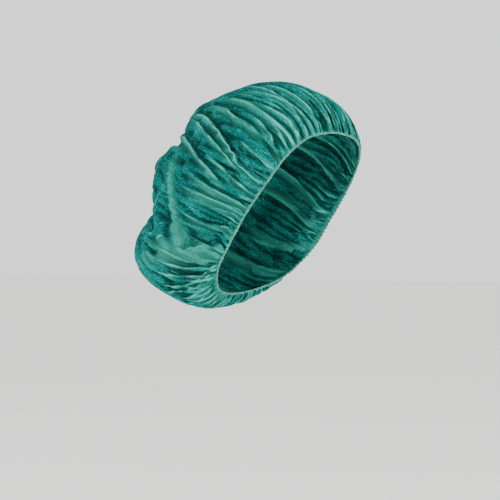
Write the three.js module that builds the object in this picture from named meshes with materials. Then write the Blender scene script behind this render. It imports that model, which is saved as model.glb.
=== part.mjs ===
// A disposable hair cover cap in the shape it has when worn: one round of thin non-woven cloth,
// gathered all the way round onto a narrow elastic hem, smooth over the top of the head and
// slack at the back, where it hangs as a bag below the nape.
// Millimetres. +Z is up, the forehead is at -Y, the nape at +Y, and the wearer's right is at -X.
// The origin is the middle of the head opening, halfway between the forehead and the nape.
import * as THREE from "three";
import { LoftGeometry } from "three/addons/geometries/LoftGeometry.js";

// The head opening, measured over the elastic hem
const OPENING_WIDTH = 152; // ear to ear
const OPENING_DEPTH = 138; // forehead to nape, front to back
const OPENING_RISE = 156; // nape to forehead, bottom to top

// The top of the cap, which follows the head
const FOREHEAD_BULGE = 4; // cloth in front of the hem at the forehead
const EAR_SLACK = 4; // cloth outside the hem at each ear
const TOP_DEPTH = 172;
const TOP_HEIGHT = 146;
const TOP_ABOVE_FOREHEAD = 55; // highest cloth above the hem's highest point

// The back of the cap, over the hair
const BACK_DEPTH = 162;
const BACK_HEIGHT = 154;
const BACK_BEHIND_NAPE = 72; // furthest cloth behind the hem's furthest point
const BACK_CENTRE_UP = 28;

// The bag that hangs behind and below the nape
const BAG_WIDTH = 164;
const BAG_DEPTH = 180;
const BAG_HEIGHT = 118;
const BAG_BEHIND_NAPE = 105;
const BAG_BELOW_NAPE = 19; // lowest cloth below the hem's lowest point

// The sheet's own middle lies at the back of the head, in this direction from the cap's middle
const SHEET_MIDDLE_TILT = 26; // degrees above the horizontal
const CAP_MIDDLE_BACK = 41;
const CAP_MIDDLE_UP = 11;

// Cloth and hem
const CLOTH_WALL = 1.2;
const HEM_DIAMETER = 2.6;
const HEM_GAP = 0.3; // between the cloth's edge and the hem
const PUFF_LENGTH = 9; // how quickly the cloth swells out from the hem
const MIDDLE_DISC = 0.04; // share of each line from hem to sheet middle that the closing disc takes

// Gathers, the even pleats that start at the hem
const GATHERS = 40;
const GATHER_DEPTH = 5.6; // crest to trough
const GATHER_UNEVEN = 0.35; // share by which one gather is deeper or flatter than the next
const GATHER_FADE = 50; // distance from the hem at which they have shrunk to about a third
const GATHER_START = 6; // distance from the hem in which they open out
const HEM_GATHER_SHARE = 0.12; // share of the depth that is left at the hem itself

// Folds and swells
const FOLD_RISE = 5;
const FOLD_WIDTH = 12;
const SWELL_RISE = 16;

// Facets
const COLUMNS_PER_GATHER = 4;
const ROWS = 15;
const ROW_CROWDING = 1.5; // above 1, rows lie closer together near the hem
const HEM_SIDES = 6;

// Stations of the hem, starting at the forehead and going round by the wearer's right ear.
// side, back and up are shares of half the opening's width, depth and rise.
const HEM_STATIONS = [
  { side: 0.0, back: -1.0, up: 1.0 },
  { side: -0.29, back: -0.93, up: 1.01 },
  { side: -0.55, back: -0.77, up: 0.94 },
  { side: -0.76, back: -0.58, up: 0.73 },
  { side: -0.92, back: -0.36, up: 0.4 },
  { side: -0.99, back: -0.09, up: 0.06 },
  { side: -1.0, back: 0.07, up: -0.15 },
  { side: -0.97, back: 0.26, up: -0.37 },
  { side: -0.87, back: 0.51, up: -0.62 },
  { side: -0.68, back: 0.71, up: -0.81 },
  { side: -0.37, back: 0.91, up: -0.95 },
  { side: 0.0, back: 1.0, up: -1.0 },
  { side: 0.37, back: 0.91, up: -0.96 },
  { side: 0.71, back: 0.7, up: -0.83 },
  { side: 0.89, back: 0.48, up: -0.63 },
  { side: 1.0, back: 0.22, up: -0.35 },
  { side: 1.01, back: -0.04, up: -0.01 },
  { side: 0.95, back: -0.36, up: 0.35 },
  { side: 0.79, back: -0.65, up: 0.65 },
  { side: 0.55, back: -0.86, up: 0.83 },
  { side: 0.29, back: -0.97, up: 0.95 },
];

// Broad swells and hollows that the loose cloth takes. toward is a direction from the cap's
// middle, spread is in degrees and rise is a share of SWELL_RISE, negative for a hollow.
const SWELLS = [
  { name: "corner_at_back", toward: [-0.62, 0.7, 0.36], spread: 13, rise: 0.44 },
  { name: "below_corner", toward: [-0.66, 0.74, -0.05], spread: 15, rise: 0.44 },
  { name: "corner_at_top", toward: [-0.28, 0.39, 0.88], spread: 13, rise: 0.44 },
  { name: "flat_between_corners", toward: [-0.42, 0.6, 0.66], spread: 9, rise: -0.22 },
  { name: "flat_over_forehead", toward: [0.28, -0.42, 0.86], spread: 14, rise: -0.31 },
  { name: "flat_under_bag", toward: [-0.3, 0.85, -0.9], spread: 18, rise: -0.39 },
  { name: "lowest_of_bag", toward: [-0.29, 0.3, -0.9], spread: 11, rise: 0.22 },
  { name: "above_bag", toward: [0.05, 0.98, -0.12], spread: 15, rise: 0.96 },
  { name: "left_above_bag", toward: [0.52, 0.84, -0.1], spread: 15, rise: 0.79 },
  { name: "left_back", toward: [0.66, 0.7, 0.34], spread: 13, rise: 0.35 },
  { name: "left_side_hollow", toward: [0.8, 0.3, -0.25], spread: 12, rise: -0.22 },
];

// The larger folds, each a ridge that runs from the hem towards the sheet's middle.
// around is its place on the hem as a share of the way round, lean is how much that changes by
// the sheet's middle, from and to are shares of the way from hem to middle, width is a share of
// FOLD_WIDTH and rise a share of FOLD_RISE.
const FOLDS = [
  { around: 0.03, lean: -0.1, from: 0.02, to: 0.5, width: 0.60, rise: 0.7 },
  { around: 0.075, lean: -0.05, from: 0.1, to: 0.62, width: 0.68, rise: 0.8 },
  { around: 0.105, lean: 0.02, from: 0.02, to: 0.6, width: 0.83, rise: 1.0 },
  { around: 0.14, lean: -0.06, from: 0.02, to: 0.45, width: 0.68, rise: 0.7 },
  { around: 0.186, lean: -0.07, from: 0.04, to: 0.75, width: 0.90, rise: 1.0 },
  { around: 0.214, lean: -0.06, from: 0.05, to: 0.75, width: 0.75, rise: 0.9 },
  { around: 0.235, lean: 0.0, from: 0.02, to: 0.5, width: 0.68, rise: 0.8 },
  { around: 0.254, lean: 0.01, from: 0.02, to: 0.55, width: 0.75, rise: 0.9 },
  { around: 0.292, lean: 0.03, from: 0.05, to: 0.5, width: 0.90, rise: 0.8 },
  { around: 0.345, lean: 0.06, from: 0.05, to: 0.6, width: 0.98, rise: 1.0 },
  { around: 0.365, lean: 0.1, from: 0.05, to: 0.4, width: 0.68, rise: 0.7 },
  { around: 0.39, lean: 0.08, from: 0.02, to: 0.45, width: 0.68, rise: 0.8 },
  { around: 0.43, lean: 0.05, from: 0.02, to: 0.4, width: 0.75, rise: 0.9 },
  { around: 0.475, lean: -0.02, from: 0.02, to: 0.5, width: 0.90, rise: 0.8 },
  { around: 0.53, lean: 0.03, from: 0.02, to: 0.4, width: 0.75, rise: 0.9 },
  { around: 0.575, lean: -0.04, from: 0.05, to: 0.55, width: 0.90, rise: 1.0 },
  { around: 0.63, lean: -0.03, from: 0.02, to: 0.45, width: 0.75, rise: 0.8 },
  { around: 0.68, lean: -0.04, from: 0.05, to: 0.6, width: 0.98, rise: 1.0 },
  { around: 0.725, lean: 0.02, from: 0.02, to: 0.5, width: 0.68, rise: 0.8 },
  { around: 0.77, lean: 0.04, from: 0.05, to: 0.7, width: 0.90, rise: 1.0 },
  { around: 0.82, lean: 0.05, from: 0.02, to: 0.6, width: 0.75, rise: 0.9 },
  { around: 0.87, lean: 0.02, from: 0.05, to: 0.55, width: 0.83, rise: 0.8 },
  { around: 0.915, lean: 0.06, from: 0.02, to: 0.6, width: 0.68, rise: 0.9 },
  { around: 0.96, lean: 0.04, from: 0.05, to: 0.5, width: 0.68, rise: 0.7 },
];

const CLOTH_COLOUR = 0x0f8478;
const HEM_COLOUR = 0x6fbfa6;

const halfWidth = OPENING_WIDTH / 2;
const halfDepth = OPENING_DEPTH / 2;
const halfRise = OPENING_RISE / 2;
const capMiddle = new THREE.Vector3(0, CAP_MIDDLE_BACK, CAP_MIDDLE_UP);
const tilt = THREE.MathUtils.degToRad(SHEET_MIDDLE_TILT);
const sheetMiddle = new THREE.Vector3(0, Math.cos(tilt), Math.sin(tilt));

// The cloth lies on the outside of these three rounded forms
const FORMS = [
  {
    half: new THREE.Vector3(halfWidth + EAR_SLACK, TOP_DEPTH / 2, TOP_HEIGHT / 2),
    centre: new THREE.Vector3(
      0,
      TOP_DEPTH / 2 - halfDepth - FOREHEAD_BULGE,
      halfRise + TOP_ABOVE_FOREHEAD - TOP_HEIGHT / 2,
    ),
  },
  {
    half: new THREE.Vector3(halfWidth + EAR_SLACK, BACK_DEPTH / 2, BACK_HEIGHT / 2),
    centre: new THREE.Vector3(0, halfDepth + BACK_BEHIND_NAPE - BACK_DEPTH / 2, BACK_CENTRE_UP),
  },
  {
    half: new THREE.Vector3(BAG_WIDTH / 2, BAG_DEPTH / 2, BAG_HEIGHT / 2),
    centre: new THREE.Vector3(
      0,
      halfDepth + BAG_BEHIND_NAPE - BAG_DEPTH / 2,
      BAG_HEIGHT / 2 - halfRise - BAG_BELOW_NAPE,
    ),
  },
];
const GOLDEN_ANGLE = Math.PI * (3 - Math.sqrt(5)); // never comes round to the same value
const FORM_BLEND = 10; // a higher power leaves a sharper valley where two forms meet

// Distance from the cap's middle to one form's surface, or 0 where the ray misses it
function formDistance({ centre, half }, direction) {
  const start = capMiddle.clone().sub(centre).divide(half);
  const step = direction.clone().divide(half);
  const a = step.lengthSq();
  const b = step.dot(start);
  const root = b * b - a * (start.lengthSq() - 1);
  return root > 0 ? Math.max(0, (-b + Math.sqrt(root)) / a) : 0;
}

// The cloth's distance from the cap's middle, without gathers and folds
function clothDistance(direction) {
  const total = FORMS.reduce((sum, form) => sum + formDistance(form, direction) ** FORM_BLEND, 0);
  return SWELLS.reduce((distance, { toward, spread, rise }) => {
    const away = direction.angleTo(new THREE.Vector3(...toward));
    return distance + rise * SWELL_RISE * bell(THREE.MathUtils.radToDeg(away) / spread);
  }, total ** (1 / FORM_BLEND));
}

// A smooth bump that is 1 at 0 and close to 0 past 2
function bell(x) {
  return Math.exp(-x * x);
}

// The hem's centre line, as a closed curve
const hemLine = new THREE.CatmullRomCurve3(
  HEM_STATIONS.map(
    ({ side, back, up }) => new THREE.Vector3(side * halfWidth, back * halfDepth, up * halfRise),
  ),
  true,
  "catmullrom",
  0.5,
);
const columns = GATHERS * COLUMNS_PER_GATHER;
const hemPoints = hemLine.getSpacedPoints(columns).slice(0, columns);

// One line of the cloth, from a point of the hem to the sheet's middle
class ClothLine {
  constructor(column) {
    this.column = column;
    this.around = column / columns;
    this.hemPoint = hemPoints[column];
    this.toHem = this.hemPoint.clone().sub(capMiddle);
    this.hemDistance = this.toHem.length();
    this.toHem.normalize();
    this.turn = this.toHem.angleTo(sheetMiddle);
  }

  // The direction at a share of the way from the hem to the sheet's middle
  direction(reach) {
    return this.toHem
      .clone()
      .multiplyScalar(Math.sin((1 - reach) * this.turn))
      .addScaledVector(sheetMiddle, Math.sin(reach * this.turn))
      .normalize();
  }

  // Distance walked from the hem, as measured round the cap's middle
  walked(reach) {
    return reach * this.turn * this.hemDistance;
  }

  // Pleats: the columns take it in turns to be trough, flank, crest and flank
  gatherRise(reach) {
    const turn = this.column / COLUMNS_PER_GATHER;
    const depth = GATHER_DEPTH * (1 + GATHER_UNEVEN * Math.sin(GOLDEN_ANGLE * Math.round(turn)));
    const walked = this.walked(reach);
    const opened = 1 - (1 - HEM_GATHER_SHARE) * Math.exp(-walked / GATHER_START);
    const faded = Math.exp(-walked / GATHER_FADE) * (1 - reach);
    return (-depth / 2) * Math.cos(2 * Math.PI * turn) * opened * faded;
  }

  // The larger folds that pass this point
  foldRise(reach) {
    const round = hemLine.getLength();
    const narrowing = Math.max(0.15, 1 - reach); // lines draw together towards the sheet's middle
    return FOLDS.reduce((sum, { around, lean, from, to, width, rise }) => {
      const offset = this.around - around - lean * reach;
      const across = (offset - Math.round(offset)) * round * narrowing;
      const along = THREE.MathUtils.smoothstep(reach, from, from + 0.12) *
        (1 - THREE.MathUtils.smoothstep(reach, to - 0.2, to));
      return sum + rise * FOLD_RISE * along * bell(across / (width * FOLD_WIDTH * 0.5));
    }, 0);
  }

  // A point on the cloth's outer face
  point(reach) {
    const direction = this.direction(reach);
    const swollen = 1 - Math.exp(-this.walked(reach) / PUFF_LENGTH);
    const distance = THREE.MathUtils.lerp(this.hemDistance, clothDistance(direction), swollen);
    const rise = this.gatherRise(reach) + this.foldRise(reach);
    return direction.multiplyScalar(distance + rise).add(capMiddle);
  }

  // The reach at which the cloth's edge stands clear of the hem
  edgeReach() {
    let low = 0;
    let high = 0.2;
    for (let halving = 0; halving < 30; halving++) {
      const middle = (low + high) / 2;
      const clear = this.point(middle).distanceTo(this.hemPoint) > HEM_DIAMETER / 2 + HEM_GAP;
      if (clear) high = middle;
      else low = middle;
    }
    return high;
  }
}

// The outer face, as rings of points from the cloth's edge to the disc at the sheet's middle
function outerRings() {
  const lines = hemPoints.map((_, column) => new ClothLine(column));
  const edges = lines.map((line) => line.edgeReach());
  return Array.from({ length: ROWS }, (_, row) => {
    const share = (row / (ROWS - 1)) ** ROW_CROWDING;
    return lines.map((line, column) =>
      line.point(THREE.MathUtils.lerp(edges[column], 1 - MIDDLE_DISC, share)),
    );
  });
}

// The inner face: every ring moved inwards by the wall, square to the cloth, and the edge
// square to the line from the hem so that it clears the hem as well
function innerRings(rings) {
  return rings.map((ring, row) =>
    ring.map((point, column) => {
      const next = ring[(column + 1) % columns];
      const last = ring[(column - 1 + columns) % columns];
      const further = rings[Math.min(row === 0 ? 0 : row + 1, ROWS - 1)][column];
      const nearer = row === 0 ? hemPoints[column] : rings[row - 1][column];
      const inwards = next.clone().sub(last).cross(further.clone().sub(nearer)).normalize();
      return point.clone().addScaledVector(inwards, CLOTH_WALL);
    }),
  );
}

// A ring drawn together to its own middle, which closes the loft there
function drawnTogether(ring) {
  const middle = ring.reduce((sum, point) => sum.add(point), new THREE.Vector3());
  return ring.map(() => middle.clone().divideScalar(ring.length));
}

// The gathered cloth: one loft from the sheet's middle over the outer face to the edge, and
// from there back over the inner face to the middle
function gatheredCloth() {
  const outer = outerRings();
  const inner = innerRings(outer);
  const outerMiddle = drawnTogether(outer.at(-1));
  const innerMiddle = drawnTogether(inner.at(-1));
  return new LoftGeometry([outerMiddle, ...outer.toReversed(), ...inner, innerMiddle]);
}

// The elastic hem: a closed ring of round section along the edge
function elasticHem() {
  const frames = hemLine.computeFrenetFrames(columns, true);
  const sections = Array.from({ length: columns + 1 }, (_, step) => {
    const column = step % columns;
    return Array.from({ length: HEM_SIDES }, (_, side) => {
      const angle = (2 * Math.PI * side) / HEM_SIDES;
      return hemPoints[column]
        .clone()
        .addScaledVector(frames.normals[column], (HEM_DIAMETER / 2) * Math.cos(angle))
        .addScaledVector(frames.binormals[column], (HEM_DIAMETER / 2) * Math.sin(angle));
    });
  });
  return new LoftGeometry(sections);
}

function piece(name, geometry, colour, roughness) {
  const material = new THREE.MeshStandardMaterial({ color: colour, roughness, metalness: 0 });
  const mesh = new THREE.Mesh(geometry, material);
  mesh.name = name;
  return mesh;
}

const cap = new THREE.Group();
cap.name = "hair_cover_cap";
cap.add(piece("gathered_crown", gatheredCloth(), CLOTH_COLOUR, 0.85));
cap.add(piece("elastic_hem", elasticHem(), HEM_COLOUR, 0.8));

export default cap;
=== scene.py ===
"""The looks of a disposable hair cover cap: its cloth, its hem, and the studio round it."""
import math

import bpy
import numpy as np
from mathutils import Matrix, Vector


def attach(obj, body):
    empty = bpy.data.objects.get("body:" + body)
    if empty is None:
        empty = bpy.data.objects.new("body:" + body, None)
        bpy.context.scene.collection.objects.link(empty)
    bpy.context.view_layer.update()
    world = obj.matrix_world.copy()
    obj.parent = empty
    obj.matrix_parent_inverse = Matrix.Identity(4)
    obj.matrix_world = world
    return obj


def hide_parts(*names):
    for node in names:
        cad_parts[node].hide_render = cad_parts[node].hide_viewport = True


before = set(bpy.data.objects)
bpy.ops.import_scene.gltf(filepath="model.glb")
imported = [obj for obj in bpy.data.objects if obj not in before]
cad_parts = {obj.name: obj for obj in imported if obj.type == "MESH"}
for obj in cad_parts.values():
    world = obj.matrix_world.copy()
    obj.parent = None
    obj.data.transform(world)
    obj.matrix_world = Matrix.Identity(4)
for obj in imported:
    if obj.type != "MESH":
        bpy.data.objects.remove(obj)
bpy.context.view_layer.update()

# Sizes in millimetres, the same as the solids have
OPENING_WIDTH = 152
OPENING_DEPTH = 138
OPENING_RISE = 156
HALF_OPENING = np.array([OPENING_WIDTH, OPENING_DEPTH, OPENING_RISE]) / 2
CAP_MIDDLE = np.array([0.0, 41.0, 11.0])
SHEET_MIDDLE_TILT = math.radians(26)
SHEET_MIDDLE = np.array([0.0, math.cos(SHEET_MIDDLE_TILT), math.sin(SHEET_MIDDLE_TILT)])
PUFF_LENGTH = 9
SWELL_RISE = 16
FLAT_DIAMETER = 533  # a cap of 21 inches

# The rounded forms that the cloth lies on, each with its middle and its half sizes: the top, the
# back and the bag
FORMS = [
    {"middle": (0, 13, 60), "half": (80, 86, 73)},
    {"middle": (0, 60, 28), "half": (80, 81, 77)},
    {"middle": (0, 84, -38), "half": (82, 90, 59)},
]
FORM_BLEND = 10

# Broad swells and hollows: a direction from the cap's middle, a spread in degrees and a rise
# as a share of SWELL_RISE
SWELLS = [
    {"toward": (-0.62, 0.70, 0.36), "spread": 13, "rise": 0.44},
    {"toward": (-0.66, 0.74, -0.05), "spread": 15, "rise": 0.44},
    {"toward": (-0.28, 0.39, 0.88), "spread": 13, "rise": 0.44},
    {"toward": (-0.42, 0.60, 0.66), "spread": 9, "rise": -0.22},
    {"toward": (0.28, -0.42, 0.86), "spread": 14, "rise": -0.31},
    {"toward": (-0.30, 0.85, -0.90), "spread": 18, "rise": -0.39},
    {"toward": (-0.29, 0.30, -0.90), "spread": 11, "rise": 0.22},
    {"toward": (0.05, 0.98, -0.12), "spread": 15, "rise": 0.96},
    {"toward": (0.52, 0.84, -0.10), "spread": 15, "rise": 0.79},
    {"toward": (0.66, 0.70, 0.34), "spread": 13, "rise": 0.35},
    {"toward": (0.80, 0.30, -0.25), "spread": 12, "rise": -0.22},
]

# Stations of the hem as shares of half the opening: side, back and up, from the middle of its
# front edge round by the right side
HEM_STATIONS = np.array([
    (0.0, -1.0, 1.0), (-0.29, -0.93, 1.01), (-0.55, -0.77, 0.94), (-0.76, -0.58, 0.73),
    (-0.92, -0.36, 0.4), (-0.99, -0.09, 0.06), (-1.0, 0.07, -0.15), (-0.97, 0.26, -0.37),
    (-0.87, 0.51, -0.62), (-0.68, 0.71, -0.81), (-0.37, 0.91, -0.95), (0.0, 1.0, -1.0),
    (0.37, 0.91, -0.96), (0.71, 0.7, -0.83), (0.89, 0.48, -0.63), (1.0, 0.22, -0.35),
    (1.01, -0.04, -0.01), (0.95, -0.36, 0.35), (0.79, -0.65, 0.65), (0.55, -0.86, 0.83),
    (0.29, -0.97, 0.95),
])

# The long folds. path is where a fold runs, in steps of the share of the way round from the front
# edge's middle and the share of the way from the hem to the sheet's middle. rise and width are in
# millimetres, lap is how far the cloth lies double beside the fold, to one side or the other, and
# crest is how sharply it is creased.
FOLDS = [
    {
        "path": [(0.037, 0.00), (0.028, 0.11), (0.022, 0.30)],
        "rise": 4.0, "width": 2.2, "lap": 3, "crest": 0.9,
    },
    {
        "path": [(0.061, 0.00), (0.056, 0.08), (0.047, 0.40)],
        "rise": 5.0, "width": 2.4, "lap": 4, "crest": 0.9,
    },
    {
        "path": [(0.067, 0.00), (0.075, 0.14), (0.077, 0.42)],
        "rise": 5.0, "width": 2.4, "lap": 4, "crest": 0.9,
    },
    {
        "path": [(0.083, 0.00), (0.080, 0.08), (0.048, 0.50)],
        "rise": 4.0, "width": 2.2, "lap": 3, "crest": 0.9,
    },
    {
        "path": [(0.100, 0.00), (0.096, 0.08), (0.103, 0.30)],
        "rise": 4.5, "width": 2.2, "lap": 4, "crest": 0.9,
    },
    {
        "path": [(0.108, 0.00), (0.112, 0.14), (0.096, 0.46)],
        "rise": 5.5, "width": 2.6, "lap": 5, "crest": 0.9,
    },
    {
        "path": [(0.123, 0.00), (0.119, 0.07), (0.110, 0.16)],
        "rise": 3.5, "width": 1.8, "lap": -3, "crest": 0.9,
    },
    {
        "path": [(0.143, 0.00), (0.130, 0.10), (0.118, 0.24)],
        "rise": 4.0, "width": 2.0, "lap": 4, "crest": 0.9,
    },
    {
        "path": [(0.160, 0.00), (0.162, 0.08), (0.159, 0.22)],
        "rise": 4.0, "width": 2.0, "lap": -4, "crest": 0.9,
    },
    {
        "path": [(0.138, 0.12), (0.134, 0.28), (0.100, 0.54)],
        "rise": 4.5, "width": 2.6, "lap": 5, "crest": 0.9,
    },
    {
        "path": [(0.187, 0.00), (0.185, 0.16), (0.108, 0.70)],
        "rise": 6.5, "width": 2.8, "lap": 5, "crest": 0.9,
    },
    {
        "path": [(0.190, 0.18), (0.165, 0.43), (0.124, 0.66)],
        "rise": 4.0, "width": 2.4, "lap": 4, "crest": 0.9,
    },
    {
        "path": [(0.210, 0.00), (0.205, 0.16), (0.194, 0.36)],
        "rise": 5.0, "width": 2.2, "lap": 5, "crest": 0.9,
    },
    {
        "path": [(0.222, 0.20), (0.206, 0.39), (0.160, 0.74)],
        "rise": 4.5, "width": 3.0, "lap": 6, "crest": 0.7,
    },
    {
        "path": [(0.234, 0.00), (0.236, 0.28), (0.229, 0.46)],
        "rise": 5.0, "width": 2.4, "lap": 9, "crest": 0.7,
    },
    {
        "path": [(0.249, 0.00), (0.250, 0.15), (0.256, 0.48)],
        "rise": 5.0, "width": 2.4, "lap": 9, "crest": 0.7,
    },
    {
        "path": [(0.283, 0.00), (0.299, 0.21), (0.296, 0.44)],
        "rise": 4.0, "width": 2.2, "lap": 8, "crest": 0.7,
    },
    {
        "path": [(0.344, 0.24), (0.328, 0.40), (0.300, 0.48), (0.210, 0.64)],
        "rise": 4.5, "width": 3.0, "lap": -9, "crest": 0.3,
    },
    {
        "path": [(0.335, 0.33), (0.349, 0.40), (0.361, 0.43)],
        "rise": 3.0, "width": 2.2, "lap": 3, "crest": 0.9,
    },
    {
        "path": [(0.318, 0.00), (0.330, 0.16), (0.355, 0.32), (0.400, 0.47)],
        "rise": 4.5, "width": 2.8, "lap": 13, "crest": 0.5,
    },
    {
        "path": [(0.346, 0.00), (0.354, 0.13), (0.355, 0.32), (0.366, 0.46)],
        "rise": 4.0, "width": 2.4, "lap": -12, "crest": 0.9,
    },
    {
        "path": [(0.352, 0.00), (0.360, 0.09), (0.363, 0.19), (0.368, 0.36)],
        "rise": 3.0, "width": 2.2, "lap": 3, "crest": 0.9,
    },
    {
        "path": [(0.360, 0.00), (0.371, 0.08), (0.378, 0.18), (0.388, 0.34)],
        "rise": 3.5, "width": 2.2, "lap": 4, "crest": 0.9,
    },
    {
        "path": [(0.368, 0.00), (0.384, 0.09), (0.396, 0.18), (0.412, 0.33)],
        "rise": 3.5, "width": 2.2, "lap": 4, "crest": 0.9,
    },
    {
        "path": [(0.378, 0.00), (0.395, 0.09), (0.409, 0.17), (0.434, 0.32)],
        "rise": 3.5, "width": 2.2, "lap": 4, "crest": 0.9,
    },
    {
        "path": [(0.404, 0.00), (0.412, 0.07), (0.432, 0.22)],
        "rise": 3.5, "width": 2.2, "lap": 4, "crest": 0.9,
    },
    {
        "path": [(0.420, 0.00), (0.440, 0.12), (0.480, 0.40)],
        "rise": 5.0, "width": 2.4, "lap": 5, "crest": 0.9,
    },
    {
        "path": [(0.462, 0.00), (0.478, 0.16), (0.492, 0.45)],
        "rise": 4.5, "width": 2.4, "lap": 5, "crest": 0.9,
    },
    {
        "path": [(0.505, 0.00), (0.500, 0.20), (0.520, 0.52)],
        "rise": 5.5, "width": 3.0, "lap": -8, "crest": 0.7,
    },
    {
        "path": [(0.548, 0.02), (0.560, 0.24), (0.568, 0.58)],
        "rise": 5.0, "width": 2.8, "lap": 6, "crest": 0.7,
    },
    {
        "path": [(0.590, 0.00), (0.575, 0.16), (0.560, 0.44)],
        "rise": 5.0, "width": 2.4, "lap": 5, "crest": 0.9,
    },
    {
        "path": [(0.636, 0.00), (0.628, 0.30), (0.610, 0.62)],
        "rise": 6.0, "width": 2.8, "lap": -9, "crest": 0.7,
    },
    {
        "path": [(0.682, 0.00), (0.664, 0.18), (0.650, 0.50)],
        "rise": 5.0, "width": 2.6, "lap": 7, "crest": 0.7,
    },
    {
        "path": [(0.724, 0.02), (0.736, 0.30), (0.742, 0.60)],
        "rise": 5.0, "width": 2.6, "lap": 8, "crest": 0.7,
    },
    {
        "path": [(0.768, 0.00), (0.776, 0.26), (0.806, 0.70)],
        "rise": 6.0, "width": 2.8, "lap": -6, "crest": 0.7,
    },
    {
        "path": [(0.812, 0.00), (0.820, 0.20), (0.852, 0.56)],
        "rise": 5.5, "width": 2.6, "lap": 6, "crest": 0.7,
    },
    {
        "path": [(0.850, 0.00), (0.858, 0.22), (0.872, 0.62)],
        "rise": 5.0, "width": 2.4, "lap": 5, "crest": 0.9,
    },
    {
        "path": [(0.886, 0.00), (0.896, 0.18), (0.918, 0.50)],
        "rise": 5.0, "width": 2.4, "lap": -5, "crest": 0.9,
    },
    {
        "path": [(0.920, 0.00), (0.930, 0.24), (0.940, 0.60)],
        "rise": 5.0, "width": 2.4, "lap": 4, "crest": 0.9,
    },
    {
        "path": [(0.950, 0.00), (0.954, 0.14), (0.960, 0.46)],
        "rise": 4.5, "width": 2.2, "lap": 4, "crest": 0.9,
    },
    {
        "path": [(0.982, 0.00), (0.985, 0.12), (0.992, 0.50)],
        "rise": 4.5, "width": 2.2, "lap": 4, "crest": 0.9,
    },
]

# Straight creases left from the packet, over the crown's back. start and end are millimetres from
# the sheet's middle as it was cut: towards the front edge, and towards the right side.
CREASES = [
    {"start": (96, 62), "end": (-24, 98), "rise": 3.6},
    {"start": (72, -44), "end": (-62, 64), "rise": 3.8},
    {"start": (24, 128), "end": (-112, 84), "rise": 3.6},
    {"start": (-26, 22), "end": (-128, -52), "rise": 4.0},
    {"start": (118, -14), "end": (8, -92), "rise": 3.6},
    {"start": (38, 34), "end": (-44, -112), "rise": 3.8},
    {"start": (-58, 136), "end": (-146, 42), "rise": 3.8},
    {"start": (66, -118), "end": (-54, -136), "rise": 3.6},
    {"start": (-88, -28), "end": (-152, -112), "rise": 3.8},
    {"start": (128, 44), "end": (62, 132), "rise": 3.4},
    {"start": (10, 96), "end": (-8, 18), "rise": 3.2},
    {"start": (-62, 116), "end": (-128, 100), "rise": 3.2},
    {"start": (-104, 40), "end": (-66, -78), "rise": 3.4},
]

# Families of pleats that start at the hem, each with how many go round and their usual length,
# rise and width in millimetres
PLEATS = [
    {"count": 132, "length": 12, "rise": 2.2, "width": 1.0},
    {"count": 74, "length": 34, "rise": 5.4, "width": 1.7},
    {"count": 46, "length": 95, "rise": 2.4, "width": 2.2},
]

# How long and high the pleats are round the hem: long at the front and back, short at the sides
PLEAT_SHARES = [
    {"around": 0.00, "share": 1.15}, {"around": 0.09, "share": 1.20}, {"around": 0.14, "share": 0.85},
    {"around": 0.27, "share": 0.65}, {"around": 0.33, "share": 0.80}, {"around": 0.42, "share": 0.90},
    {"around": 0.58, "share": 0.90}, {"around": 0.72, "share": 0.80}, {"around": 0.84, "share": 0.85},
    {"around": 0.92, "share": 1.20}, {"around": 1.00, "share": 1.15},
]

SHEET_REACH = 255  # from the hem to the sheet's middle over the smooth cap, in millimetres
CREST_WIDTH = 0.42  # half the width of a crease line by the hem
HOLLOW_DEPTH = 0.8  # depth below the cloth round it at which a hollow gets its full painted shade
CREASE_HEIGHT = 0.42  # bulge of the cloth between neighbouring points that counts as a crease
FOLD_RISE_SHARE = 0.6  # of a long fold's rise that the cloth starts with
FOLD_WIDTH_SHARE = 0.7  # of a long fold's width that the cloth starts with
CREASE_WIDTH = 5  # over which a packet crease rises
CREASE_LOOK = 0.45  # how pale a packet crease is beside a long fold's crest
HEM_RADIUS = 0.9
HEM_CRIMPS = 128

GRID = 154


def unit(vectors):
    """The same directions with length 1."""
    lengths = np.linalg.norm(vectors, axis=-1, keepdims=True)
    return vectors / np.maximum(lengths, 1e-9)


def closed_curve(stations, count=4000):
    """A smooth closed curve through the stations, with the share of its length at each point."""
    place = np.linspace(0, len(stations), count, endpoint=False)
    first = place.astype(int)
    t = (place - first)[:, None]
    a, b, c, d = (stations[(first + shift) % len(stations)] for shift in (-1, 0, 1, 2))
    points = 0.5 * (
        2 * b + (c - a) * t + (2 * a - 5 * b + 4 * c - d) * t**2 + (3 * b - a - 3 * c + d) * t**3
    )
    closed = np.vstack([points, points[:1]])
    walked = np.concatenate([[0], np.cumsum(np.linalg.norm(np.diff(closed, axis=0), axis=1))])
    return closed, walked / walked[-1], walked[-1]


HEM_CURVE, HEM_SHARE, HEM_LENGTH = closed_curve(HEM_STATIONS * HALF_OPENING)


def hem_point(around):
    """Points of the hem at shares of the way round."""
    around = np.mod(around, 1.0)
    return np.stack([np.interp(around, HEM_SHARE, HEM_CURVE[:, axis]) for axis in range(3)], -1)


def form_distance(direction):
    """How far the smooth cap is from its middle in each direction."""
    total = 0
    for form in FORMS:
        half = np.array(form["half"])
        start = (CAP_MIDDLE - form["middle"]) / half
        step = direction / half
        a = (step**2).sum(-1)
        b = step @ start
        root = np.maximum(b * b - a * (start @ start - 1), 0)
        total = total + (np.maximum(np.sqrt(root) - b, 0) / a * (root > 0)) ** FORM_BLEND
    distance = total ** (1 / FORM_BLEND)
    for swell in SWELLS:
        away = np.degrees(np.arccos(np.clip(direction @ unit(np.array(swell["toward"])), -1, 1)))
        distance = distance + swell["rise"] * SWELL_RISE * np.exp(-((away / swell["spread"]) ** 2))
    return distance


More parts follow.
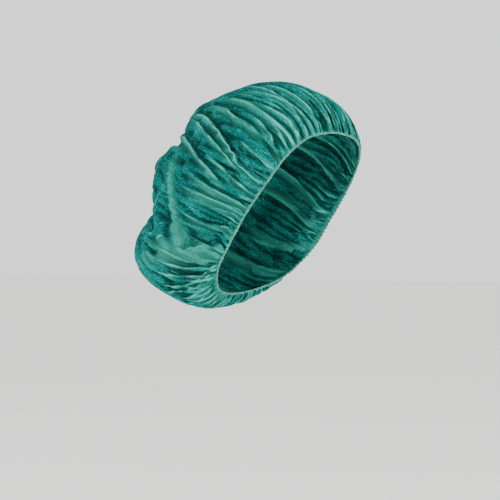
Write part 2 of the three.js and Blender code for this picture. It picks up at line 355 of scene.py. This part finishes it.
def smooth_cap(around, reach):
    """The cap without folds: points, directions from its middle, distances from the hem."""
    to_hem = hem_point(around) - CAP_MIDDLE
    hem_distance = np.linalg.norm(to_hem, axis=-1)
    hem_direction = unit(to_hem)
    turn = np.arccos(np.clip(hem_direction @ SHEET_MIDDLE, -1, 1))
    direction = unit(
        hem_direction * np.sin((1 - reach) * turn)[..., None]
        + SHEET_MIDDLE * np.sin(reach * turn)[..., None]
    )
    walked = reach * turn * hem_distance
    swollen = 1 - np.exp(-walked / PUFF_LENGTH)
    distance = hem_distance * (1 - swollen) + form_distance(direction) * swollen
    return CAP_MIDDLE + direction * distance[..., None], direction, walked


def round_grid(count):
    """A square grid bent onto a disc of radius 1, as count + 1 rows of points."""
    line = np.linspace(-1, 1, count + 1)
    x, y = np.meshgrid(line, line)
    radius = np.maximum(np.abs(x), np.abs(y))
    wide = np.abs(x) > np.abs(y)
    with np.errstate(divide="ignore", invalid="ignore"):
        angle = np.where(wide, y / x, 2 - x / y) * math.pi / 4
    angle = np.where(radius == 0, 0, angle)
    side = np.where(wide, np.sign(x), np.sign(y))
    return np.stack([radius * np.cos(angle) * side, radius * np.sin(angle) * side], -1)


def ramp(values, low, high):
    """0 below low, 1 above high and straight in between."""
    return np.clip((values - low) / (high - low), 0, 1)


def wandering(around, seed):
    """A slow wave round the cap that keeps pleats from being even."""
    rng = np.random.default_rng(seed)
    turns = (3, 7, 13, 23)
    heights = rng.uniform(0.2, 1.0, len(turns))
    starts = rng.uniform(0, 2 * math.pi, len(turns))
    return sum(h * np.sin(2 * math.pi * k * around + s) for k, h, s in zip(turns, heights, starts))


def ring_length(reach):
    """About how long the ring round the smooth cap is, at shares of the way from the hem."""
    return HEM_LENGTH * (1 + 0.6 * np.sin(math.pi * reach)) * (1 - 0.75 * reach)


def pleat_lines(around, reach):
    """Each pleat by the hem in turn: its rise and width, how far points lie to its side, and how
    much of it is left there."""
    rng = np.random.default_rng(5)
    ring = ring_length(reach)
    walked = reach * SHEET_REACH
    turns = [row["around"] for row in PLEAT_SHARES]
    shares = [row["share"] for row in PLEAT_SHARES]
    for pleats in PLEATS:
        count = pleats["count"]
        for place in range(count):
            middle = (place + rng.uniform(-0.4, 0.4)) / count
            share = np.interp(middle % 1.0, turns, shares)
            length = pleats["length"] * share * rng.uniform(0.5, 1.7)
            rise = pleats["rise"] * min(1.0, share) * rng.uniform(0.45, 1.5)
            line = middle + rng.uniform(-0.25, 0.25) / count * walked / length
            across = (np.mod(around - line + 0.5, 1.0) - 0.5) * ring
            yield rise, pleats["width"], across, np.exp(-((walked / length) ** 2))


def pleat_rise(around, reach):
    """How far the pleats by the hem rise."""
    total = np.zeros_like(around)
    for rise, width, across, left in pleat_lines(around, reach):
        total += rise * left * np.exp(-((np.abs(across) / width) ** 1.4))
    return total


def fold_lines(around, reach):
    """Each long fold in turn: its row, how far points lie to its side, and where it runs."""
    ring = ring_length(reach)
    for fold in FOLDS:
        turns, steps = np.array(fold["path"]).T
        slope = np.interp(reach, (steps[1:] + steps[:-1]) / 2, np.diff(turns) / np.diff(steps))
        line = np.interp(reach, steps, turns)
        offset = np.mod(around - line + 0.5, 1.0) - 0.5
        across = offset * ring / np.hypot(1, slope * ring / SHEET_REACH)
        runs = ramp(reach, steps[0] - 0.02, steps[0] + 0.03)
        runs = runs * (1 - ramp(reach, steps[-1] - 0.3 * (steps[-1] - steps[0]), steps[-1]))
        yield fold, across, runs


def crease_lines(flat):
    """Each straight crease in turn: its row, how far points lie to its side, and where it runs."""
    for crease in CREASES:
        start = np.array(crease["start"])
        line = crease["end"] - start
        length = np.hypot(*line)
        ahead = (flat - start) @ line / length
        across = (flat - start) @ np.array([-line[1], line[0]]) / length
        across = across + 3 * np.sin(ahead / 17)
        yield crease, across, ramp(ahead, 0, 15) * (1 - ramp(ahead, length - 30, length))


def fold_strength(around, reach, flat):
    """How much of a long fold passes each point, as a rise and as a share from 0 to 1."""
    rise = np.zeros_like(around)
    share = np.zeros_like(around)
    for crease, across, runs in crease_lines(flat):
        rise += crease["rise"] * runs * np.exp(-((np.abs(across) / CREASE_WIDTH) ** 1.2))
    for fold, across, runs in fold_lines(around, reach):
        away = np.abs(across) / (fold["width"] * FOLD_WIDTH_SHARE)
        ridge = runs * np.exp(-(away**1.3))
        groove = runs * np.exp(-((away - 2.2) ** 2))
        rise += FOLD_RISE_SHARE * fold["rise"] * (ridge - 0.3 * groove)
        share = np.maximum(share, runs * np.exp(-(away**2) / 4))
    return rise, share


def fold_looks(around, reach, flat):
    """Where folds and pleats are creased, where the cloth lies double beside a fold, and where a
    fold stands in its own shade."""
    line = CREST_WIDTH * (1 + 2 * reach)
    crest = np.zeros_like(around)
    double = np.zeros_like(around)
    shade = np.zeros_like(around)
    for fold, across, runs in fold_lines(around, reach):
        beside = across * np.sign(fold["lap"])
        crest = np.maximum(crest, fold["crest"] * runs * np.exp(-((across / line) ** 2)))
        valley = np.exp(-(((beside / fold["rise"] + 0.55) / 0.42) ** 2))
        shade = np.maximum(shade, (0.4 + 0.6 * fold["crest"]) * runs * valley)
        edge = 0.18 * abs(fold["lap"])
        lap = runs * ramp(beside, -edge, edge) * np.exp(-((beside / abs(fold["lap"])) ** 2))
        double = np.maximum(double, lap * min(1, abs(fold["lap"]) / 8))
    for crease, across, runs in crease_lines(flat):
        crest = np.maximum(crest, CREASE_LOOK * runs * np.exp(-((across / line) ** 2)))
        shade = np.maximum(shade, 0.5 * runs * np.exp(-(((across + 2.5 * line) / line) ** 2)))
    for rise, _, across, left in pleat_lines(around, reach):
        strength = min(1, rise / 4) ** 2 * left * ramp(reach, 0.0, 0.03)
        crest = np.maximum(crest, strength * np.exp(-((across / line) ** 2)))
        shade = np.maximum(shade, strength * np.exp(-(((across + 2.5 * line) / line) ** 2)))
    return crest, double, shade


class Cloth:
    """The cap's sheet on a square grid, with springs that hold its cut lengths."""

    STEPS = 12
    PASSES = 4
    # How much of its error each kind of spring takes back in one pass
    STRETCH = 0.9
    SQUEEZE = 0.15
    SHEAR = 0.3
    BEND = 0.04
    STIFF_FROM = 50  # from the hem, where the cloth's long springs begin to hold it flat
    STIFF_FULLY = 110
    # Spare cloth, as a share of the smooth cap's own lengths
    ALONG_FULLNESS = 0.03
    EVEN_FULLNESS = 0.24
    HEM_FULLNESS = 2.3
    HEM_FULLNESS_LENGTH = 35
    FOLD_FULLNESS = 0.45
    # Room below and above the smooth cap, in millimetres
    FORM_INSET = 4.6
    FOLD_ROOM = 3.4
    HEM_ROOM = 3
    ROOM_AT_HEM = 1.2
    ROOM_GROWTH = 0.08  # with each millimetre from the hem
    # How the cloth moves in one step
    SLOWING = 0.9
    WEIGHT = 0.02
    FILLING = 0.02
    SET_IN = 0.045  # share of the way back to the folds that it starts with
    SET_IN_FOLDS = 3.5  # how much more that is where a long fold is pressed in
    UNEVENNESS = 0.15
    PLEAT_OPENING = 5  # from the hem, in which the pleats open out

    def __init__(self, count):
        flat = round_grid(count)
        self.flat = flat * FLAT_DIAMETER / 2
        radius = np.linalg.norm(flat, axis=-1)
        self.around = np.mod(np.arctan2(flat[..., 1], flat[..., 0]) / (2 * math.pi), 1.0)
        self.reach = np.clip(1 - radius, 0, 1)
        self.size = count + 1
        self.smooth, self.direction, self.walked = smooth_cap(self.around, self.reach)
        self.hem_distance = np.linalg.norm(hem_point(self.around) - CAP_MIDDLE, axis=-1)
        self.free = (radius < 0.999)[..., None].astype(float)
        rise, self.folded = fold_strength(self.around, self.reach, self.flat)
        self.points = self.smooth + self.direction * (rise + self.start_pleats())[..., None]
        self.start = self.points.copy()
        self.set_in = self.SET_IN * (1 + self.SET_IN_FOLDS * self.folded[..., None])
        self.fullness = self.cut_fullness(radius)
        self.springs = self.make_springs()

    def neighbours_along(self):
        """Directions from the hem to the sheet's middle, along the smooth cap."""
        further = smooth_cap(self.around, np.minimum(self.reach + 1e-3, 1))[0]
        nearer = smooth_cap(self.around, np.maximum(self.reach - 1e-3, 0))[0]
        return unit(further - nearer)

    def start_pleats(self):
        """Pleats by the hem, and a slight unevenness all over that lets the cloth crumple."""
        rng = np.random.default_rng(7)
        rise = pleat_rise(self.around, self.reach)
        opened = 1 - np.exp(-self.walked / self.PLEAT_OPENING)
        return rise * opened + rng.normal(0, self.UNEVENNESS, rise.shape)

    def cut_fullness(self, radius):
        """Spare cloth across the folds: most by the hem and along the long folds."""
        by_hem = self.HEM_FULLNESS * np.exp(-self.walked / self.HEM_FULLNESS_LENGTH)
        even = self.EVEN_FULLNESS + by_hem
        return (even + self.FOLD_FULLNESS * self.folded) * ramp(radius, 0.0, 0.25)

    def rest_length(self, one, other, along):
        """The cut length between two sets of grid points."""
        line = self.smooth[other] - self.smooth[one]
        tangent = unit(along[one] + along[other])
        lengthways = (line * tangent).sum(-1)
        crossways = np.sqrt(np.maximum((line * line).sum(-1) - lengthways**2, 0))
        fullness = 1 + (self.fullness[one] + self.fullness[other]) / 2
        return np.hypot(lengthways * (1 + self.ALONG_FULLNESS), crossways * fullness)[..., None]

    def make_springs(self):
        """Springs in batches that share no point: along threads, across cells, and over two and
        four cells of a thread."""
        along = self.neighbours_along()
        batches = []
        kinds = [
            ((0, 1), self.STRETCH, self.SQUEEZE, 2),
            ((1, 0), self.STRETCH, self.SQUEEZE, 2),
            ((1, 1), self.SHEAR, self.SHEAR / 2, 2),
            ((1, -1), self.SHEAR, self.SHEAR / 2, 2),
            ((0, 2), self.STRETCH / 2, self.BEND, 4),
            ((2, 0), self.STRETCH / 2, self.BEND, 4),
            ((0, 4), 0.0, self.BEND, 8),
            ((4, 0), 0.0, self.BEND, 8),
        ]
        for (down, over), pull, push, batch_count in kinds:
            for batch in range(batch_count):
                rows = (batch, batch_count) if down else (0, 1)
                columns = (0, 1) if down else (batch, batch_count)
                left = max(0, -over)
                right = max(0, over)
                one = (
                    slice(rows[0], self.size - down, rows[1]),
                    slice(columns[0] + left, self.size - right, columns[1]),
                )
                other = (
                    slice(rows[0] + down, self.size, rows[1]),
                    slice(columns[0] + left + over, self.size - left or None, columns[1]),
                )
                weight = np.maximum(self.free[one] + self.free[other], 1e-9)
                rest = self.rest_length(one, other, along)
                if batch_count == 8:
                    stiff = ramp(self.walked[one], self.STIFF_FROM, self.STIFF_FULLY)
                    push = 1.5 * self.BEND * stiff[..., None]
                batches.append((one, other, rest, pull, push, weight))
        return batches

    def pull_springs(self):
        """Move each spring's ends towards its cut length."""
        for one, other, rest, pull, push, weight in self.springs:
            line = self.points[other] - self.points[one]
            length = np.sqrt((line * line).sum(-1, keepdims=True)) + 1e-9
            error = (length - rest) / (length * weight)
            line *= error * np.where(error > 0, pull, push)
            self.points[one] += self.free[one] * line
            self.points[other] -= self.free[other] * line

    def keep_between(self):
        """Keep the cloth outside the form below it and within the room for its folds."""
        line = self.points - CAP_MIDDLE
        distance = np.linalg.norm(line, axis=-1)
        form = FORM_TABLE.distance(line / distance[..., None])
        swollen = 1 - np.exp(-self.walked / PUFF_LENGTH)
        room = np.minimum(self.FOLD_ROOM, self.ROOM_AT_HEM + self.ROOM_GROWTH * self.walked)
        inner = (form - self.FORM_INSET) * swollen
        inner += (self.hem_distance - self.HEM_ROOM) * (1 - swollen)
        outer = (form + room) * swollen
        outer += (self.hem_distance + self.HEM_ROOM) * (1 - swollen)
        kept = np.clip(distance, inner, outer)
        self.points += self.free * line * ((kept - distance) / distance)[..., None]

    def settle(self):
        """Let the cloth hang until its folds have formed."""
        speed = np.zeros_like(self.points)
        down = np.array([0, 0, -self.WEIGHT])
        for _ in range(self.STEPS):
            before = self.points.copy()
            outwards = unit(self.points - CAP_MIDDLE)
            self.points += self.free * (speed * self.SLOWING + down + self.FILLING * outwards)
            for _ in range(self.PASSES):
                self.pull_springs()
                self.keep_between()
            self.points += self.free * self.set_in * (self.start - self.points)
            speed = self.points - before


class FormTable:
    def __init__(self, across=256, down=128):
        self.across = across
        self.down = down
        longitude, latitude = np.meshgrid(
            np.linspace(-math.pi, math.pi, across), np.linspace(-math.pi / 2, math.pi / 2, down)
        )
        direction = np.stack([
            np.cos(latitude) * np.cos(longitude),
            np.cos(latitude) * np.sin(longitude),
            np.sin(latitude),
        ], -1)
        self.values = form_distance(direction)

    def distance(self, direction):
        column = np.arctan2(direction[..., 1], direction[..., 0]) / (2 * math.pi) + 0.5
        row = np.arcsin(np.clip(direction[..., 2], -1, 1)) / math.pi + 0.5
        column = column * (self.across - 1)
        row = row * (self.down - 1)
        left = np.clip(column.astype(int), 0, self.across - 2)
        low = np.clip(row.astype(int), 0, self.down - 2)
        x = column - left
        y = row - low
        lower = self.values[low, left] * (1 - x) + self.values[low, left + 1] * x
        upper = self.values[low + 1, left] * (1 - x) + self.values[low + 1, left + 1] * x
        return lower * (1 - y) + upper * y


FORM_TABLE = FormTable()


def linear(hex_colour):
    """An sRGB hex colour as linear red, green, blue and alpha."""
    parts = [int(hex_colour[i:i + 2], 16) / 255 for i in (0, 2, 4)]
    bent = [p / 12.92 if p <= 0.04045 else ((p + 0.055) / 1.055) ** 2.4 for p in parts]
    return (*bent, 1.0)


def new_material(name):
    """A material with its Principled shader."""
    material = bpy.data.materials.new(name)
    material.use_nodes = True
    return material, material.node_tree.nodes["Principled BSDF"]


def add_node(material, kind, settings=(), links=()):
    """Add a node, set its properties and sockets, and link sockets of other nodes into it."""
    tree = material.node_tree
    node = tree.nodes.new(kind)
    for key, value in dict(settings).items():
        if isinstance(key, str) and hasattr(node, key):
            setattr(node, key, value)
        else:
            node.inputs[key].default_value = value
    for key, source in dict(links).items():
        tree.links.new(source, node.inputs[key])
    return node


def link(material, source, target):
    material.node_tree.links.new(source, target)


def set_ramp(node, stops):
    """Give a colour ramp its stops: places and colours."""
    elements = node.color_ramp.elements
    while len(elements) < len(stops):
        elements.new(0.5)
    for element, (place, colour) in zip(elements, stops):
        element.position = place
        element.color = linear(colour)


def maths(material, operation, *values):
    """A Math node's result. Each value is a number or another node's socket."""
    node = material.node_tree.nodes.new("ShaderNodeMath")
    node.operation = operation
    for place, value in enumerate(values):
        if isinstance(value, (int, float)):
            node.inputs[place].default_value = value
        else:
            link(material, value, node.inputs[place])
    return node.outputs[0]


def band(material, value, low, high, most):
    """0 below low, most above high and straight in between, or the other way round."""
    node = add_node(
        material, "ShaderNodeMapRange",
        {"From Min": low, "From Max": high, "To Min": 0.0, "To Max": most}, {"Value": value},
    )
    return node.outputs[0]


def mixed(material, share, one, other):
    """One colour turned into another by a share."""
    node = add_node(material, "ShaderNodeMix", {"data_type": "RGBA"}, {0: share})
    for place, colour in ((6, one), (7, other)):
        if isinstance(colour, str):
            node.inputs[place].default_value = linear(colour)
        else:
            link(material, colour, node.inputs[place])
    return node.outputs[2]


def streaks_from_hem(material, fineness, length):
    """Noise drawn out from the hem towards the sheet's middle, on the sheet as it was cut."""
    flat = add_node(material, "ShaderNodeUVMap", {"uv_map": "flat"}).outputs["UV"]
    centred = add_node(
        material, "ShaderNodeVectorMath", {"operation": "SUBTRACT", 1: (0.5, 0.5, 0.0)}, {0: flat},
    ).outputs["Vector"]
    radius = add_node(
        material, "ShaderNodeVectorMath", {"operation": "LENGTH"}, {0: centred},
    ).outputs["Value"]
    towards = add_node(
        material, "ShaderNodeVectorMath", {"operation": "NORMALIZE"}, {0: centred},
    ).outputs["Vector"]
    parts = add_node(material, "ShaderNodeSeparateXYZ", {}, {"Vector": towards}).outputs
    place = add_node(material, "ShaderNodeCombineXYZ", {}, {
        "X": maths(material, "MULTIPLY", parts["X"], fineness),
        "Y": maths(material, "MULTIPLY", parts["Y"], fineness),
        "Z": maths(material, "MULTIPLY", radius, length),
    }).outputs["Vector"]
    noise = add_node(
        material, "ShaderNodeTexNoise",
        {"Scale": 1.0, "Detail": 1.5, "Roughness": 0.6}, {"Vector": place},
    )
    return noise.outputs["Fac"], radius


def ridge_lines(material, noise, thinness):
    """Thin lines where the noise crosses its middle value."""
    away = maths(material, "ABSOLUTE", maths(material, "SUBTRACT", noise, 0.5))
    return band(material, away, thinness, 0.0, 1.0)


def nonwoven_cloth():
    """Thin spunbonded polypropylene cloth. Its pressed fibres give a fine mottle, its creases are
    pale where the fibres are bent white, and it lets some light through. Its grooves, its hollows and
    the cloth beside each fold are darkened with painted shade."""
    material, shader = new_material("nonwoven_cloth")
    place = add_node(material, "ShaderNodeTexCoord").outputs["Object"]
    # Fibres are about 0.02 mm thick, and their tufts are drawn up to 1.6 mm across so that they show
    mottle = add_node(
        material, "ShaderNodeTexNoise",
        {"Scale": 640.0, "Detail": 4.0, "Roughness": 0.8, "Distortion": 0.6}, {"Vector": place},
    ).outputs["Fac"]
    cloudy = add_node(
        material, "ShaderNodeTexNoise", {"Scale": 30.0, "Detail": 4.0}, {"Vector": place},
    ).outputs["Fac"]
    blotch = maths(material, "MULTIPLY_ADD", cloudy, 0.3, mottle)
    green = add_node(material, "ShaderNodeValToRGB", {}, {"Fac": blotch})
    set_ramp(green, [(0.52, "002e2a"), (0.65, "005e59"), (0.80, "00968e")])
    crease = add_node(material, "ShaderNodeAttribute", {"attribute_name": "crease"}).outputs["Fac"]
    noise, radius = streaks_from_hem(material, 34.0, 12.0)
    near_hem = band(material, radius, 0.26, 0.47, 1.0)
    patchy = band(material, cloudy, 0.40, 0.62, 1.0)
    fine = ridge_lines(material, noise, 0.03)
    fine = maths(material, "MULTIPLY", fine, maths(material, "MAXIMUM", near_hem, patchy))
    crest = add_node(material, "ShaderNodeAttribute", {"attribute_name": "crest"}).outputs["Fac"]
    double = add_node(material, "ShaderNodeAttribute", {"attribute_name": "double"}).outputs["Fac"]
    hollow_shade = add_node(material, "ShaderNodeAttribute", {"attribute_name": "hollow_shade"}).outputs["Fac"]
    patches = add_node(
        material, "ShaderNodeTexNoise", {"Scale": 48.0, "Detail": 2.0}, {"Vector": place},
    ).outputs["Fac"]
    crest = maths(material, "MULTIPLY", crest, band(material, patches, 0.30, 0.52, 1.0))
    # Painted shade: grooves, deep hollows and the cloth beside folds, pleats and packet creases are
    # mixed towards a near-black green
    painted_shade = band(material, crease, 0.38, 0.12, 0.9)
    painted_shade = maths(material, "MAXIMUM", painted_shade, band(material, hollow_shade, 0.52, 0.95, 0.72))
    shade = add_node(material, "ShaderNodeAttribute", {"attribute_name": "shade"}).outputs["Fac"]
    painted_shade = maths(material, "MAXIMUM", painted_shade, band(material, shade, 0.15, 0.9, 0.8))
    pale = band(material, crease, 0.88, 0.99, 0.3)
    pale = maths(material, "MAXIMUM", pale, band(material, crest, 0.05, 0.75, 0.8))
    pale = maths(material, "MAXIMUM", pale, band(material, double, 0.0, 1.0, 0.36))
    pale = maths(material, "MAXIMUM", pale, maths(material, "MULTIPLY", fine, 0.25))
    pale = maths(material, "MAXIMUM", pale, band(material, radius, 0.493, 0.499, 0.3))
    shaded = mixed(material, painted_shade, green.outputs["Color"], "001413")
    colour = mixed(material, pale, shaded, "52c8ae")
    link(material, colour, shader.inputs["Base Color"])
    height = maths(material, "MULTIPLY_ADD", crest, 1.5, mottle)
    height = maths(material, "MULTIPLY_ADD", fine, 0.8, height)
    fibres = add_node(
        material, "ShaderNodeBump", {"Strength": 0.35, "Distance": 0.0004}, {"Height": height},
    )
    link(material, fibres.outputs["Normal"], shader.inputs["Normal"])
    shader.inputs["Roughness"].default_value = 0.9
    shader.inputs["IOR"].default_value = 1.4
    shader.inputs["Specular IOR Level"].default_value = 0.08
    through = add_node(material, "ShaderNodeBsdfTranslucent", {}, {"Color": colour})
    both = add_node(
        material, "ShaderNodeMixShader", {0: 0.2},
        {1: shader.outputs["BSDF"], 2: through.outputs["BSDF"]},
    )
    link(material, both.outputs[0], material.node_tree.nodes["Material Output"].inputs["Surface"])
    return material


def hem_cloth():
    """The same cloth folded over the elastic and crimped: paler, since several layers lie
    together."""
    material, shader = new_material("elastic_hem_cloth")
    place = add_node(material, "ShaderNodeTexCoord").outputs["Object"]
    mottle = add_node(
        material, "ShaderNodeTexNoise", {"Scale": 700.0, "Detail": 4.0}, {"Vector": place},
    )
    green = add_node(material, "ShaderNodeValToRGB", {}, {"Fac": mottle.outputs["Fac"]})
    set_ramp(green, [(0.35, "155548"), (0.65, "4a9680")])
    link(material, green.outputs["Color"], shader.inputs["Base Color"])
    fibres = add_node(
        material, "ShaderNodeBump", {"Strength": 0.4, "Distance": 0.0003},
        {"Height": mottle.outputs["Fac"]},
    )
    link(material, fibres.outputs["Normal"], shader.inputs["Normal"])
    shader.inputs["Roughness"].default_value = 0.75
    shader.inputs["IOR"].default_value = 1.49
    return material


def mesh_object(name, points, faces, material):
    """A smooth mesh object from points in millimetres."""
    mesh = bpy.data.meshes.new(name)
    mesh.from_pydata((points / 1000).tolist(), [], faces.tolist())
    mesh.shade_smooth()
    mesh.materials.append(material)
    thing = bpy.data.objects.new(name, mesh)
    bpy.context.scene.collection.objects.link(thing)
    return thing


def apply_modifiers(thing):
    """Turn what the modifiers make into the object's own mesh."""
    done = bpy.data.meshes.new_from_object(
        thing.evaluated_get(bpy.context.evaluated_depsgraph_get())
    )
    thing.modifiers.clear()
    thing.data = done


def store_looks(thing):
    """Store on each point what the material draws there: how the cloth bends, with 0.5 for flat, how
    deep it lies in a hollow, and where it is creased, doubled and shaded. Grooves, hollows and the
    shaded places are given painted shade."""
    mesh = thing.data
    count = len(mesh.vertices)
    points = np.empty(count * 3)
    mesh.vertices.foreach_get("co", points)
    points = points.reshape(-1, 3)
    normals = np.empty(count * 3)
    mesh.vertices.foreach_get("normal", normals)
    normals = normals.reshape(-1, 3)
    edges = np.empty(len(mesh.edges) * 2, dtype=int)
    mesh.edges.foreach_get("vertices", edges)
    one, other = edges.reshape(-1, 2).T
    degree = np.bincount(one, minlength=count) + np.bincount(other, minlength=count)

    def spread(values):
        total = np.zeros_like(values)
        for axis in range(values.shape[1]):
            total[:, axis] = np.bincount(one, values[other, axis], count)
            total[:, axis] += np.bincount(other, values[one, axis], count)
        return total / degree[:, None]

    # How the cloth bends between neighbours; the material paints shade where it bends into a groove
    height = ((points - spread(points)) * normals).sum(-1, keepdims=True) * 1000
    height = spread(height)[:, 0]
    crease = 0.5 + 0.5 * np.tanh(height / CREASE_HEIGHT)
    # How deep each point lies below the cloth round it, which the material darkens as painted shade
    middle = points
    for _ in range(16):
        middle = spread(middle)
    height = ((points - middle) * normals).sum(-1) * 1000
    hollow_shade = 0.5 - 0.5 * np.tanh(height / HOLLOW_DEPTH)
    place = np.empty(count * 3)
    mesh.attributes["flat_place"].data.foreach_get("vector", place)
    x, y, _ = place.reshape(-1, 3).T
    around = np.mod(np.arctan2(y, x) / (2 * math.pi), 1.0)
    flat = np.stack([x, y], -1) * FLAT_DIAMETER / 2
    crest, double, shade = fold_looks(around, np.clip(1 - np.hypot(x, y), 0, 1), flat)
    looks = {
        "crease": crease, "hollow_shade": hollow_shade, "crest": crest, "double": double, "shade": shade,
    }
    for name, values in looks.items():
        mesh.attributes.new(name, "FLOAT", "POINT").data.foreach_set("value", values)


def make_crown():
    """The gathered sheet as one thin layer of cloth."""
    cloth = Cloth(GRID)
    cloth.settle()
    number = np.arange(cloth.size**2).reshape(cloth.size, cloth.size)
    faces = np.stack([number[:-1, :-1], number[:-1, 1:], number[1:, 1:], number[1:, :-1]], -1)
    faces = faces.reshape(-1, 4)
    points = cloth.points.reshape(-1, 3)
    lines = points[faces]
    facing = np.cross(lines[:, 1] - lines[:, 0], lines[:, 2] - lines[:, 0])
    if (facing * (points[faces[:, 0]] - CAP_MIDDLE)).sum() < 0:
        faces = faces[:, ::-1]
    crown = mesh_object("crown_cloth", points, faces, nonwoven_cloth())
    place = crown.data.attributes.new("flat_place", "FLOAT_VECTOR", "POINT")
    flat = np.dstack([cloth.flat, np.zeros_like(cloth.flat[..., 0])])
    place.data.foreach_set("vector", flat.ravel() * 2 / FLAT_DIAMETER)
    drawing = crown.data.uv_layers.new(name="flat")
    drawing.data.foreach_set("uv", (cloth.flat.reshape(-1, 2)[faces] / FLAT_DIAMETER + 0.5).ravel())
    finer = crown.modifiers.new("finer", "SUBSURF")
    finer.levels = 1
    finer.render_levels = 1
    apply_modifiers(crown)
    store_looks(crown)
    return crown


def make_hem():
    """The casing that the cloth is folded into, crimped by its elastic."""
    rounds, sides = 1280, 12
    around = np.arange(rounds) / rounds
    line = hem_point(around)
    along = unit(hem_point(around + 1e-4) - hem_point(around - 1e-4))
    outwards = unit(line - CAP_MIDDLE)
    across = unit(np.cross(along, outwards))
    rng = np.random.default_rng(11)
    crimp = np.sin(2 * math.pi * HEM_CRIMPS * around + 1.6 * wandering(around, 0))
    uneven = np.interp(around, np.linspace(0, 1, 161), rng.uniform(0.8, 1.2, 161))
    radius = HEM_RADIUS * uneven * (1 + 0.16 * crimp)
    wobble = outwards * (0.35 * crimp)[:, None]
    angle = np.arange(sides) / sides * 2 * math.pi
    points = (
        (line + wobble)[:, None]
        + (across * (radius * 1.15)[:, None])[:, None] * np.cos(angle)[None, :, None]
        + (outwards * radius[:, None])[:, None] * np.sin(angle)[None, :, None]
    )
    number = np.arange(rounds * sides).reshape(rounds, sides)
    after = np.roll(number, -1, axis=0)
    beside = np.roll(number, -1, axis=1)
    faces = np.stack([number, beside, np.roll(after, -1, axis=1), after], -1).reshape(-1, 4)
    return mesh_object("hem_casing", points.reshape(-1, 3), faces, hem_cloth())


def make_floor():
    """A plain pale floor well below the cap."""
    material, shader = new_material("floor")
    shader.inputs["Base Color"].default_value = linear("f8f8f6")
    shader.inputs["Roughness"].default_value = 0.9
    reach = 12000
    corners = np.array([(-1, -1), (1, -1), (1, 1), (-1, 1)]) * reach
    points = np.column_stack([corners, np.full(4, -420.0)])
    floor = mesh_object("floor", points, np.array([[0, 1, 2, 3]]), material)


def add_light(name, toward, distance, size, watts):
    """A soft square light that shines at the cap from a direction."""
    light = bpy.data.lights.new(name, "AREA")
    light.size = size
    light.energy = watts
    thing = bpy.data.objects.new(name, light)
    direction = Vector(toward).normalized()
    thing.location = direction * distance
    thing.rotation_euler = direction.to_track_quat("Z", "Y").to_euler()
    bpy.context.scene.collection.objects.link(thing)


def make_studio():
    """The camera level with the cap and in front of its right side, a pale room and soft lights."""
    turn = math.radians(-54)
    camera_distance = 1.2
    right = Vector((math.cos(turn), math.sin(turn), 0))
    to_camera = Vector((math.sin(turn), -math.cos(turn), 0))
    camera = bpy.data.cameras.new("camera")
    camera.lens = 86.4
    thing = bpy.data.objects.new("camera", camera)
    aim = right * -0.0372 + Vector((0, 0, -0.033))
    thing.location = aim + to_camera * camera_distance
    thing.rotation_euler = to_camera.to_track_quat("Z", "Y").to_euler()
    bpy.context.scene.collection.objects.link(thing)
    bpy.context.scene.camera = thing
    world = bpy.data.worlds.new("studio")
    world.use_nodes = True
    world.node_tree.nodes["Background"].inputs["Color"].default_value = linear("ffffff")
    world.node_tree.nodes["Background"].inputs["Strength"].default_value = 1.4
    bpy.context.scene.world = world
    add_light("key", (0.1, -1.0, 0.2), 1.6, 0.4, 22)
    add_light("side", (-1.0, -0.2, 0.05), 1.6, 0.8, 17)
    add_light("back", (0.2, 1.0, 0.5), 1.8, 1.0, 4)


make_studio()
make_floor()
crown = make_crown()
hem = make_hem()
for piece, node in ((crown, "gathered_crown"), (hem, "elastic_hem")):
    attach(piece, "root")
    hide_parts(node)
